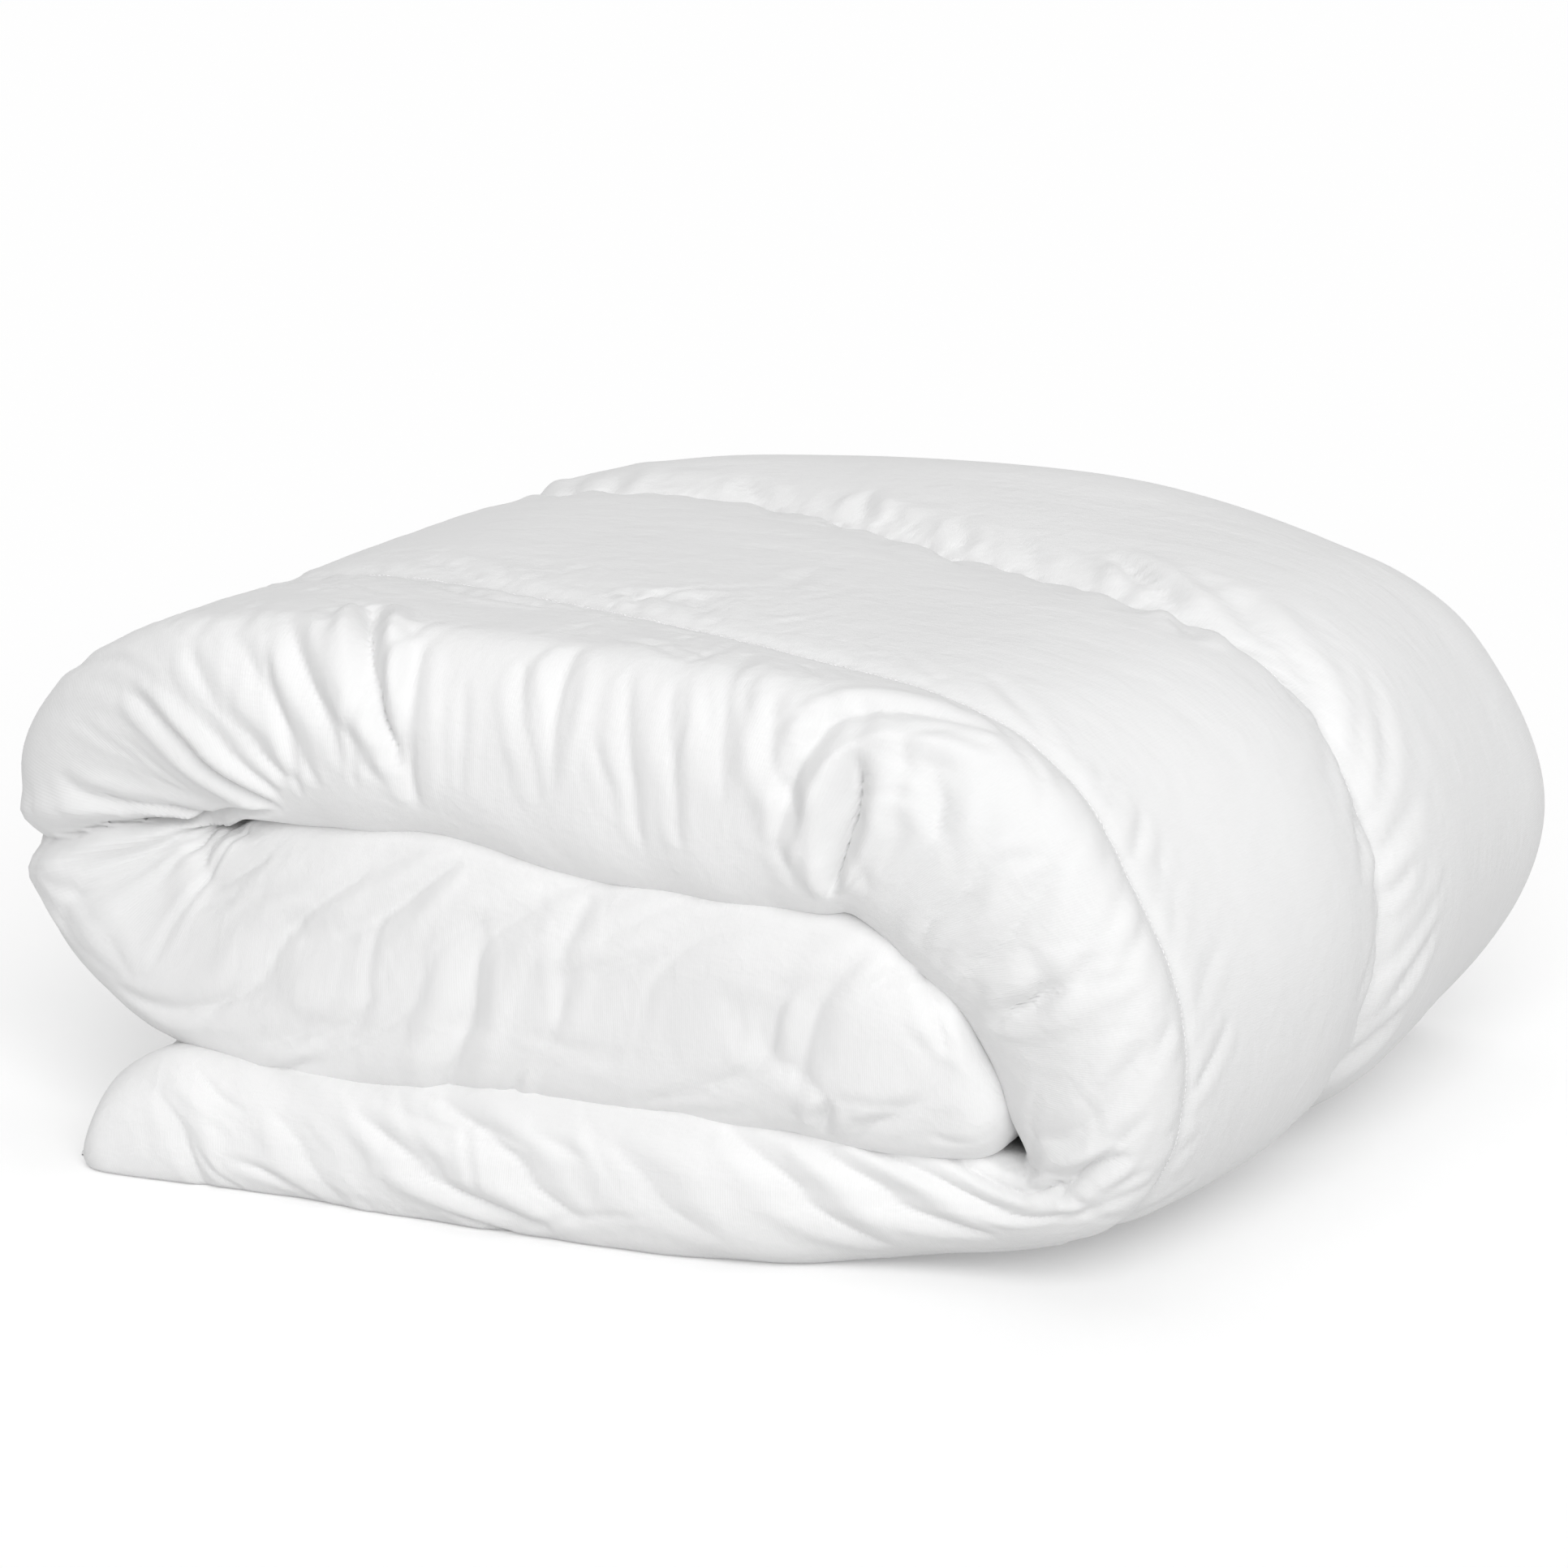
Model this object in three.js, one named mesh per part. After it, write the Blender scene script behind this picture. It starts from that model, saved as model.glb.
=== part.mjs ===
// A channel-quilted duvet, folded in half across its width and then in thirds along its length.
// Millimetres. X runs along the front fold, Y from the front fold to the open edges, Z up.
// Origin: centre of the footprint, on the underside.
import * as THREE from 'three';

// Overall size of the folded bundle.
const LENGTH = 710;
const DEPTH = 600;
const HEIGHT = 304;

// The three layers of the stack, from the bottom, with a slip gap between neighbours.
const BOTTOM_THICK = 84;
const MIDDLE_THICK = 112;
const LAYER_GAP = 2;
const SIDE_THICK = 100;

// Channels: distance of each row of stitching behind the front fold.
const FRONT_SEAM = 108;
const REAR_SEAM = 352;

// Fabric and assembly, measured across a layer of nominal thickness 100.
const NOMINAL = 100;
const SKIN = 2.5;
const WALL = 2;
const HEM_DEPTH = 12;
const CLEARANCE = 0.7;
const MITRE_GAP = 0.6;

const LEFT = -LENGTH / 2;
const RIGHT = LENGTH / 2;
const FRONT = -DEPTH / 2;
const REAR = DEPTH / 2;
const BEND = HEIGHT / 2;
const BEND_X = RIGHT - BEND;
const MIDDLE_Z = BOTTOM_THICK + LAYER_GAP;
const TOP_Z = MIDDLE_Z + MIDDLE_THICK + LAYER_GAP;
const INNER_X = RIGHT - SIDE_THICK;

const COTTON = { color: 0xf4f4f2, roughness: 0.85, metalness: 0 };
const DOWN = { color: 0xfbfaf6, roughness: 1, metalness: 0 };
const TAPE = { color: 0xf0f0ee, roughness: 0.8, metalness: 0 };

// A station is one cut across the layer: a point on its outer face and a point on its inner face.
const station = (ox, oz, ix, iz) => ({ ox, oz, ix, iz });

// A station on the rounded right-hand bend; angle 0 points down, 90 right and 180 up.
function bendStation(degrees, ix, iz, shift = 0) {
  const a = THREE.MathUtils.degToRad(degrees);
  const ox = BEND_X + BEND * Math.sin(a) + shift;
  const oz = BEND - BEND * Math.cos(a) + shift;
  return station(ox, oz, ix + shift, iz + shift);
}

const cornerZ = BEND - BEND * Math.cos(Math.PI / 4);
const cornerX = BEND_X + BEND * Math.sin(Math.PI / 4);
const mitreRun = cornerX - INNER_X;

// Bottom layer: free end at the left, mitred where it turns up at the right.
const BASE = [
  station(LEFT + 28, 0, LEFT + 28, 46),
  station(LEFT + 47, 0, LEFT + 47, 70),
  station(LEFT + 80, 0, LEFT + 80, BOTTOM_THICK - 1),
  station(LEFT + 315, 0, LEFT + 315, BOTTOM_THICK),
  station(BEND_X, 0, BEND_X, BOTTOM_THICK),
  bendStation(22.5, INNER_X - 10, BOTTOM_THICK),
  bendStation(45, RIGHT - BOTTOM_THICK, BOTTOM_THICK, -MITRE_GAP / 2),
];

// Right side: the upright part of the bend, between two mitres.
const SIDE = [
  bendStation(45, INNER_X, cornerZ + mitreRun),
  bendStation(67.5, INNER_X - 1, 125),
  bendStation(90, INNER_X, BEND),
  bendStation(112.5, INNER_X - 1, HEIGHT - 125),
  bendStation(135, INNER_X, HEIGHT - cornerZ - mitreRun),
];

// Top layer, the tight left-hand fold and the middle layer with its tucked free end.
const mitreX = cornerX - MITRE_GAP / 2;
const mitreZ = HEIGHT - cornerZ + MITRE_GAP / 2;
const FLAP = [
  station(mitreX, mitreZ, mitreX - mitreRun, mitreZ - mitreRun),
  bendStation(157.5, INNER_X - 15, TOP_Z),
  station(BEND_X, HEIGHT, BEND_X, TOP_Z),
  station(LEFT + 355, HEIGHT, LEFT + 355, TOP_Z),
  station(LEFT + 115, HEIGHT, LEFT + 115, TOP_Z + 1),
  station(LEFT + 62, HEIGHT - 8, LEFT + 103, TOP_Z + 1.5),
  station(LEFT + 24, HEIGHT - 34, LEFT + 101, TOP_Z + 1),
  station(LEFT + 5, HEIGHT - 66, LEFT + 99.5, TOP_Z),
  station(LEFT, HEIGHT - 101, LEFT + 99, TOP_Z - 1),
  station(LEFT + 5, HEIGHT - 140, LEFT + 99.5, TOP_Z - 2),
  station(LEFT + 24, HEIGHT - 178, LEFT + 101, TOP_Z - 3),
  station(LEFT + 60, HEIGHT - 208, LEFT + 103, TOP_Z - 3.5),
  station(LEFT + 105, MIDDLE_Z, LEFT + 105, TOP_Z - 3.5),
  station(LEFT + 355, MIDDLE_Z, LEFT + 355, TOP_Z - LAYER_GAP),
  station(INNER_X - 55, MIDDLE_Z, INNER_X - 55, TOP_Z - LAYER_GAP),
  station(INNER_X - 27, MIDDLE_Z + 2, INNER_X - 27, TOP_Z - 20),
  station(INNER_X - 13, MIDDLE_Z + 6, INNER_X - 13, TOP_Z - 50),
];

const LAYERS = { base: BASE, side: SIDE, flap: FLAP };

// A flat outline in (y, n), n running from the outer face of the layer to its inner face.
function outline(points) {
  return new THREE.Shape(points.map(([y, n]) => new THREE.Vector2(y, n)));
}

// The outline of a strip of fabric lying along a line and reaching the given distance to its left.
function strip(points, thickness) {
  const line = points.map(([y, n]) => new THREE.Vector2(y, n));
  const offset = line.map((p, i) => {
    const before = line[Math.max(i - 1, 0)];
    const after = line[Math.min(i + 1, line.length - 1)];
    const along = after.clone().sub(before).normalize();
    return new THREE.Vector2(p.x - along.y * thickness, p.y + along.x * thickness);
  });
  return new THREE.Shape([...line, ...offset.reverse()]);
}

// Sweeps an outline through the stations of a layer.
function sweep(shape, stations) {
  const steps = stations.length - 1;
  const geometry = new THREE.ExtrudeGeometry(shape, { depth: steps, steps, bevelEnabled: false });
  const position = geometry.attributes.position;
  for (let i = 0; i < position.count; i++) {
    const s = stations[Math.round(position.getZ(i))];
    const u = position.getY(i) / NOMINAL;
    const x = s.ox + (s.ix - s.ox) * u;
    const z = s.oz + (s.iz - s.oz) * u;
    position.setXYZ(i, x, position.getX(i), z);
  }
  geometry.computeVertexNormals();
  return geometry;
}

const duvet = new THREE.Group();

function add(name, shape, stations, look) {
  const mesh = new THREE.Mesh(sweep(shape, stations), new THREE.MeshStandardMaterial(look));
  mesh.name = name;
  duvet.add(mesh);
}

// Mirrors an outline to the other ply of the folded layer.
function otherPly(points) {
  return points.map(([y, n]) => [y, NOMINAL - n]).reverse();
}

// Outer panel: round the front fold, open at the rear where the sewn edges lie.
function outerPanel() {
  const lower = [
    [REAR - HEM_DEPTH - 1, 21],
    [REAR - 32, 8],
    [REAR - 62, 0],
    [FRONT + 55, 0],
    [FRONT + 20, 10],
    [FRONT + 5, 28],
  ];
  const line = [...lower, [FRONT, NOMINAL / 2], ...otherPly(lower)];
  return strip(line.reverse(), SKIN);
}

// Inner panel: lies against itself along the middle of the layer.
function innerPanel() {
  const lower = [
    [REAR - HEM_DEPTH - 1, 29],
    [REAR - 35, 41],
    [REAR - 65, 48.5],
    [FRONT + 52, 48.5],
  ];
  return strip([...lower, [FRONT + 47, NOMINAL / 2], ...otherPly(lower)], SKIN);
}

const FILL_OUT = SKIN + CLEARANCE;
const FILL_IN = NOMINAL / 2 - 1.5 - SKIN - CLEARANCE;
const seams = [FRONT + FRONT_SEAM, FRONT + REAR_SEAM];
const beside = WALL / 2 + CLEARANCE;

// Down filling of the channel along the open edge, tapering to the hem.
function rearChannel() {
  return [
    [seams[1] + beside, FILL_OUT],
    [REAR - 66, FILL_OUT + 1],
    [REAR - 40, 14],
    [REAR - 25, 25],
    [REAR - 43, 34],
    [REAR - 74, FILL_IN - 1],
    [seams[1] + beside, FILL_IN],
  ];
}

// Down filling of the channel between the two rows of stitching.
function midChannel() {
  return [
    [seams[0] + beside, FILL_OUT],
    [seams[1] - beside, FILL_OUT],
    [seams[1] - beside, FILL_IN],
    [seams[0] + beside, FILL_IN],
  ];
}

// Down filling of the centre channel, which wraps the front fold.
function frontChannel() {
  const outer = [
    [seams[0] - beside, FILL_OUT],
    [FRONT + 60, FILL_OUT + 1],
    [FRONT + 28, 16],
    [FRONT + 13, 31],
  ];
  const inner = [
    [seams[0] - beside, FILL_IN],
    [FRONT + 47, FILL_IN - 1],
  ];
  const nose = [[FRONT + 8, NOMINAL / 2]];
  const throat = [[FRONT + 40, NOMINAL / 2]];
  const around = [...outer, ...nose, ...otherPly(outer)];
  return [...around, ...otherPly(inner).reverse(), ...throat, ...inner.reverse()];
}

// Baffle wall that joins the two panels along one row of stitching.
function baffle(y) {
  return [
    [y - WALL / 2, FILL_OUT],
    [y + WALL / 2, FILL_OUT],
    [y + WALL / 2, FILL_IN],
    [y - WALL / 2, FILL_IN],
  ];
}

// Sewn hem along the long edge of one ply.
function edgeHem() {
  return [
    [REAR - HEM_DEPTH, 20.5],
    [REAR, 20.5],
    [REAR, 29.5],
    [REAR - HEM_DEPTH, 29.5],
  ];
}

// Sewn hem along a free end, running round the front fold from one long edge to the other.
function endHem() {
  const lower = [
    [REAR - 4, 21],
    [FRONT + 52, 21],
    [FRONT + 31, 30],
  ];
  return strip([...lower, [FRONT + 24, NOMINAL / 2], ...otherPly(lower)].reverse(), 8);
}

// One ply is named lower and the other upper by where it lies in the bottom layer.
function bothPlies(name, points, stations, look) {
  add(`${name}_lower`, outline(points), stations, look);
  add(`${name}_upper`, outline(otherPly(points)), stations, look);
}

for (const [body, stations] of Object.entries(LAYERS)) {
  add(`outer_panel_${body}`, outerPanel(), stations, COTTON);
  add(`inner_panel_${body}`, innerPanel(), stations, COTTON);
  add(`fill_front_${body}`, outline(frontChannel()), stations, DOWN);
  bothPlies(`fill_mid_${body}`, midChannel(), stations, DOWN);
  bothPlies(`fill_rear_${body}`, rearChannel(), stations, DOWN);
  bothPlies(`baffle_front_${body}`, baffle(seams[0]), stations, COTTON);
  bothPlies(`baffle_rear_${body}`, baffle(seams[1]), stations, COTTON);
  bothPlies(`edge_hem_${body}`, edgeHem(), stations, TAPE);
}

const first = BASE[0];
const last = FLAP[FLAP.length - 1];
const startHem = [
  station(first.ox - 6, first.oz, first.ix - 6, first.iz),
  station(first.ox - CLEARANCE, first.oz, first.ix - CLEARANCE, first.iz),
];
const finishHem = [
  station(last.ox + CLEARANCE, last.oz, last.ix + CLEARANCE, last.iz),
  station(last.ox + 6, last.oz, last.ix + 6, last.iz),
];
add('end_hem_start', endHem(), startHem, TAPE);
add('end_hem_finish', endHem(), finishHem, TAPE);

export default duvet;
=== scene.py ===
"""A white channel-quilted duvet, folded in half and then in thirds.

The fabric is one grid that follows the fold of the duvet: rows run across the layer, from one long hem
round the front fold to the other, and columns run along the two metres of its length. The grid is
relaxed as cloth over its filling and then parted into three pieces where the duvet unfolds.
"""
import math

import bmesh
import bpy
import numpy as np
from bpy.props import FloatProperty, FloatVectorProperty, IntProperty, PointerProperty
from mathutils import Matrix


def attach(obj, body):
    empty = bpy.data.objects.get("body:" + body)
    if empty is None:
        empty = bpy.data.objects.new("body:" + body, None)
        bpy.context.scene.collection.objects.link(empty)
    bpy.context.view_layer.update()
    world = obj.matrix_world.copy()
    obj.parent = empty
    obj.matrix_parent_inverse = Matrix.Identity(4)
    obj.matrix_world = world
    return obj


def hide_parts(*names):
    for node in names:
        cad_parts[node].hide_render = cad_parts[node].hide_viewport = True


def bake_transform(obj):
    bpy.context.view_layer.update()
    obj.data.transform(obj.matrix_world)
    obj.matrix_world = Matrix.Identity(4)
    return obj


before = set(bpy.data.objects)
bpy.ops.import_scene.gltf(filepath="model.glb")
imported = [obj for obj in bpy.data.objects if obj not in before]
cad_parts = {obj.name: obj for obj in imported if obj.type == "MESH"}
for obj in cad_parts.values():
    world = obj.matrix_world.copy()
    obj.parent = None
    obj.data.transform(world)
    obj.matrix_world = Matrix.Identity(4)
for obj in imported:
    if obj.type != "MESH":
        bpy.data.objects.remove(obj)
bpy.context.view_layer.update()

bl_info = {
    "name": "Folded duvet",
    "version": (1, 0, 0),
    "blender": (4, 5, 0),
    "location": "3D View > Sidebar > Duvet",
    "description": "Makes a quilted duvet folded into a bundle, with its hems, stitching and stage",
    "category": "Object",
}

MM = 0.001
HEM_BACK = 8.0  # how far the fabric stops short of the rear fold, where the hem begins, mm
CELL = 2.6  # grid step, mm, in the folds of the front
COARSE = 6.0  # and round the layer behind them
HALF = 625.0  # from the nose of the front fold to a long hem, along the outer panel
NOSE_RUN = 80.0  # the part of that which lies round the nose
REAR_RUN = 96.0  # and the part that curves in to the hem
SEAMS = (135.0, 380.0)  # the rows of stitching, measured the same way
MID = 100.0  # nominal thickness of a layer
HALF_LAYER = MID / 2
TURN_IN = 90.0  # how far the rear curves in before the hem
ABOVE_FLOOR = 0.4  # the lowest the fabric lies
FARTHEST = 16.0  # the most that the relaxation moves a point
THREAD_HOLD = (0.85, 1)  # how firmly a thread keeps its length when it is too short and too long
SLANT_HOLD = (0.25, 0.5)  # the same across the weave

# Cuts across the folded layer: outer x, outer z, inner x, inner z in mm, from the lower free end to the
# tucked one.
CUTS = [
    (-329, 9, -329, 22), (-324, 2, -322, 36), (-310, 0, -305, 54), (-280, 0, -275, 68), (-210, 0, -205, 76),
    (-90, 0, -90, 77), (40, 0, 40, 77), (140, 0, 140, 74), (205, 3, 204, 66), (262, 16, 246, 54),
    (306, 43, 262, 62), (336, 85, 257, 92), (352, 140, 254, 130), (351, 185, 238, 160),
    (334, 232, 208, 184),
    (302, 271, 186, 200), (258, 294, 174, 205), (205, 304, 158, 204), (110, 307, 100, 201),
    (0, 308, 0, 202),
    (-110, 306, -105, 200), (-205, 300, -164, 197), (-275, 282, -198, 195), (-325, 248, -210, 193),
    (-352, 208, -216, 191), (-350, 166, -217, 189), (-345, 136, -215, 188), (-324, 106, -208, 189),
    (-285, 84, -196, 191), (-215, 79, -166, 193), (-100, 79, -95, 195), (20, 80, 20, 198),
    (120, 78, 120, 197),
    (185, 70, 190, 190), (225, 66, 238, 165), (248, 72, 251, 130), (257, 86, 257, 110),
]

# How the layer runs from front to rear: middle of a cut (x, z), the y of the nose and of the rear fold, and
# the distance from the nose to both rows of stitching. The fold lies a little askew to the stitching.
PLAN = [
    (-329, 15, -306, 292, 135, 380), (-90, 41, -307, 292, 130, 375), (90, 41, -298, 290, 110, 350),
    (202, 40, -276, 285, 90, 330), (289, 55, -262, 280, 75, 310), (310, 140, -276, 285, 80, 310),
    (278, 211, -292, 290, 85, 310), (187, 254, -298, 304, 100, 335), (50, 254, -298, 308, 140, 385),
    (-110, 253, -302, 308, 180, 455), (-220, 246, -296, 302, 205, 470), (-285, 185, -268, 290, 205, 445),
    (-270, 139, -276, 285, 165, 400), (-180, 135, -294, 290, 150, 390), (-60, 140, -298, 292, 135, 380),
    (190, 130, -296, 290, 135, 380), (248, 114, -278, 290, 135, 380),
]

# Places where the bundle is pushed out of true: centre, move and radius, mm.
PULLS = [
    ((-310, -290, 20), (40, -12, -12), 110),
    ((230, -270, 5), (0, 16, 14), 110),
    ((320, -230, 140), (-16, 0, 0), 110),
    ((310, -240, 240), (-24, 0, -8), 100),
    ((320, 250, 260), (-19, 0, -11), 130),
    ((350, 240, 120), (5, 0, 0), 90), ((330, 220, 50), (-16, 0, 4), 110),
    ((-345, -280, 180), (-15, 0, 0), 110),
    ((-320, -120, 270), (4, 0, 2), 120),
    ((40, 240, 310), (0, 0, 4), 110),
    ((220, 285, 295), (0, 0, -13), 85),
    ((-110, -290, 78), (0, 0, -11), 90),
    ((-190, -295, 85), (0, 0, -8), 60),
    ((-195, -300, 200), (0, 0, 7), 50),
    ((-125, -300, 200), (0, 0, 11), 60),
    ((-60, -300, 200), (0, 0, 13), 50),
    ((-220, 250, 300), (0, 0, -4), 90),
]


def hermite(u, h, start, end, leaving, arriving):
    """Points of a cubic from its ends and its slopes there, h long in its own measure."""
    ends = (2 * u**3 - 3 * u**2 + 1) * start + (3 * u**2 - 2 * u**3) * end
    return ends + (u**3 - 2 * u**2 + u) * h * leaving + (u**3 - u**2) * h * arriving


def spline(points, samples):
    """A smooth curve through the cuts, dense enough to measure along."""
    p = np.asarray(points, float)
    middle = (p[:, 0:2] + p[:, 2:4]) / 2
    t = np.concatenate([[0], np.cumsum(np.sqrt(np.linalg.norm(np.diff(middle, axis=0), axis=1)))])
    h = np.diff(t)
    d = np.diff(p, axis=0) / h[:, None]
    m = np.zeros_like(p)
    m[0], m[-1] = d[0], d[-1]
    m[1:-1] = (d[:-1] * h[1:, None] + d[1:] * h[:-1, None]) / (h[:-1] + h[1:])[:, None]
    x = np.linspace(t[0], t[-1], samples)
    k = np.clip(np.searchsorted(t, x, side="right") - 1, 0, len(h) - 1)
    u = ((x - t[k]) / h[k])[:, None]
    return hermite(u, h[k][:, None], p[k], p[k + 1], m[k], m[k + 1])


def smooth(a, b, x):
    """0 before a, 1 after b, and an easy rise between."""
    t = np.clip((x - a) / (b - a), 0, 1)
    return t * t * (3 - 2 * t)


def ripple(s, w, across, along, angle, seed, terms=24):
    """Smooth random ripples whose crests run at an angle, one size across them and another along."""
    rng = np.random.default_rng(seed)
    c, d = math.cos(math.radians(angle)), math.sin(math.radians(angle))
    p, q = s * c + w * d, -s * d + w * c
    total = np.zeros(np.broadcast(s, w).shape)
    for _ in range(terms):
        fp = rng.normal(0, 1) / along
        fq = (1 + rng.normal(0, 0.35)) / across
        total += np.cos(2 * math.pi * (p * fp + q * fq) + rng.uniform(0, 2 * math.pi))
    return total / math.sqrt(terms / 2)


class Layer:
    """The folded layer: distance s along the duvet and w round the layer become points."""

    def __init__(self):
        dense = spline(CUTS, 8000)
        middle = (dense[:, :2] + dense[:, 2:]) / 2
        run = np.concatenate([[0], np.cumsum(np.linalg.norm(np.diff(middle, axis=0), axis=1))])
        self.length = run[-1]
        self.rows = int(round(self.length / CELL)) + 1
        near = np.arange(0, 150, CELL)
        half = np.concatenate([near, np.linspace(near[-1] + CELL, HALF, int((HALF - near[-1]) / COARSE))])
        self.w = np.concatenate([-half[:0:-1], half])
        self.columns = len(self.w)
        self.s = np.linspace(0, self.length, self.rows)
        self.cuts = np.stack([np.interp(self.s, run, c) for c in dense.T], 1)
        self.S, self.W = np.meshgrid(self.s, self.w, indexing="ij")

    def at(self, x, z):
        """Distance along the duvet of the cut whose middle is nearest to a point."""
        middle = (self.cuts[:, :2] + self.cuts[:, 2:]) / 2
        return self.s[np.argmin(((middle - (x, z)) ** 2).sum(1))]


def plan(layer):
    """The y of the nose and of the rear fold, and where both rows of stitching lie, at every row."""
    places = [layer.at(x, z) for x, z, *_ in PLAN]
    curve = np.array([row[2:] for row in PLAN], float)
    soft = np.hanning(25)
    soft /= soft.sum()
    out = []
    for k in range(4):
        y = np.interp(layer.s, places, curve[:, k])
        out.append(np.convolve(np.pad(y, 12, mode="edge"), soft, mode="valid")[:, None])
    return out


def stitching(layer):
    """Both rows of stitching as distances round the layer, on the half of the panel that a point is on."""
    _, _, first, second = plan(layer)
    lower = layer.W > 0
    return np.where(lower, 2 * SEAMS[0] - first, -first), np.where(lower, 2 * SEAMS[1] - second, -second)


def push(points):
    """Moves points of the bundle by the pulls near them."""
    moved = points.copy()
    for centre, move, radius in PULLS:
        far = ((points - centre) ** 2).sum(-1, keepdims=True)
        moved += np.array(move, float) * np.exp(-far / radius**2)
    return moved


def section(layer, sizes):
    """Base shape of the outer and inner panels, mm, as two arrays of points."""
    s, w = layer.S, layer.W
    side = np.sign(w)
    a = np.abs(w)
    turn = np.clip(a / NOSE_RUN, 0, 1) * math.pi / 2
    nose = HALF_LAYER + 4 * ripple(s, 0 * s, 260, 1e9, 0, 3, 8)
    front, rear, _, _ = plan(layer)
    front = front + 4 * ripple(s, 0 * s, 190, 1e9, 0, 5, 8)
    # the noses lie square against each other and are rounder where they are free
    pressed = np.where(w > 0, 1.0, smooth(layer.at(-340, 190), layer.at(-300, 130), s))
    square = 2 / (sizes.nose_squareness + pressed * (sizes.pressed_squareness - sizes.nose_squareness))
    y_nose = front + nose * (1 - np.cos(turn) ** square)
    n_nose = HALF_LAYER * np.sin(turn) ** square
    rear_start = rear - HEM_BACK - TURN_IN
    y0 = front + nose
    flat = (a - NOSE_RUN) / (HALF - NOSE_RUN - REAR_RUN)
    back = np.clip((a - (HALF - REAR_RUN)) / REAR_RUN, 0, 1) * math.pi / 2
    y_flat = y0 + (rear_start - y0) * flat
    y = np.where(a < NOSE_RUN, y_nose, np.where(flat < 1, y_flat, rear_start + TURN_IN * np.sin(back)))
    out = np.where(a < NOSE_RUN, n_nose, HALF_LAYER)
    out = np.where(flat > 1, 25 + 25 * np.cos(back), out)
    # the inner panel lies against itself in the middle of the layer
    y_in = np.where(a < NOSE_RUN, y0 + 2 - 5 * np.cos(turn), y)
    inn = np.where(a < NOSE_RUN, 1.5 * np.sin(turn), 1.5)
    inn = np.where(flat > 1, 25 - 23.5 * np.cos(back), inn)
    # channels: pinched in at the stitching, crowned between
    first, second = stitching(layer)
    near, far = np.abs(w - first), np.abs(w - second)
    crown = 1 - np.sqrt(1 - (1 - np.clip(np.minimum(near, far) / sizes.crown_run, 0, 1)) ** 2 * 0.985)
    crown = sizes.crown - crown * np.where(near < far, sizes.front_pinch, sizes.rear_pinch)
    crown = crown * smooth(10, NOSE_RUN, a) * np.cos(back)
    # ends of the duvet close to a hem
    end = np.minimum(layer.S, layer.length - layer.S)
    close = np.sqrt(np.clip(1 - (1 - np.clip(end / 26, 0, 1)) ** 2, 0, 1))
    ply = 25 * np.where(a < NOSE_RUN, np.sin(turn), 1)
    half_out = ply + (out - ply) * close
    half_in = ply + (inn - ply) * close
    y_mid = (y + y_in) / 2
    y = y_mid + (y - y_mid) * close
    y_in = y_mid + (y_in - y_mid) * close
    free = exposed(layer)
    o, i = layer.cuts[:, None, :2], layer.cuts[:, None, 2:]
    span = i - o
    thick = np.linalg.norm(span, axis=2, keepdims=True)

    def place(y, n, off):
        u = (HALF_LAYER + side * n)[:, :, None] / MID
        p = o + span * u + span / thick * (side * off)[:, :, None]
        return np.stack([p[:, :, 0], y, p[:, :, 1]], 2)

    outer = place(y, half_out, crown * close * (0.25 + 0.75 * free))
    inner = place(y_in, half_in, 0 * y)
    outer, inner = push(outer), push(inner)
    outer[:, :, 2] = np.maximum(outer[:, :, 2], ABOVE_FLOOR)
    inner[:, :, 2] = np.maximum(inner[:, :, 2], ABOVE_FLOOR)
    return outer, inner


def exposed(layer):
    """1 where the outer panel is free to puff, 0 where another layer or the floor lies against it."""
    s, w = layer.S, layer.W
    tuck = layer.at(-283, 150)
    top_start = layer.at(260, 200)
    bottom_end = layer.at(235, 50)
    outside = smooth(bottom_end - 30, bottom_end + 60, s) * (1 - smooth(tuck, tuck + 90, s))
    nose = 1 - smooth(NOSE_RUN * 0.75, NOSE_RUN * 1.25, np.abs(w))
    free = np.maximum(nose, np.where(w < 0, outside, 0))
    return np.clip(free, 0, 1)


def normals(p):
    """Unit normals of a grid of points."""
    ds = np.gradient(p, axis=0)
    dw = np.gradient(p, axis=1)
    n = np.cross(dw, ds)
    return n / np.maximum(np.linalg.norm(n, axis=2, keepdims=True), 1e-9)


def hold(a, b, rest, push, pull):
    """Moves both ends of a thread towards its rest length."""
    d = b - a
    length = np.linalg.norm(d, axis=-1)
    change = length - rest
    change = change * np.where(change < 0, push, pull) * 0.5 / np.maximum(length, 1e-6)
    d *= change[..., None]
    a += d
    b -= d


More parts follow.
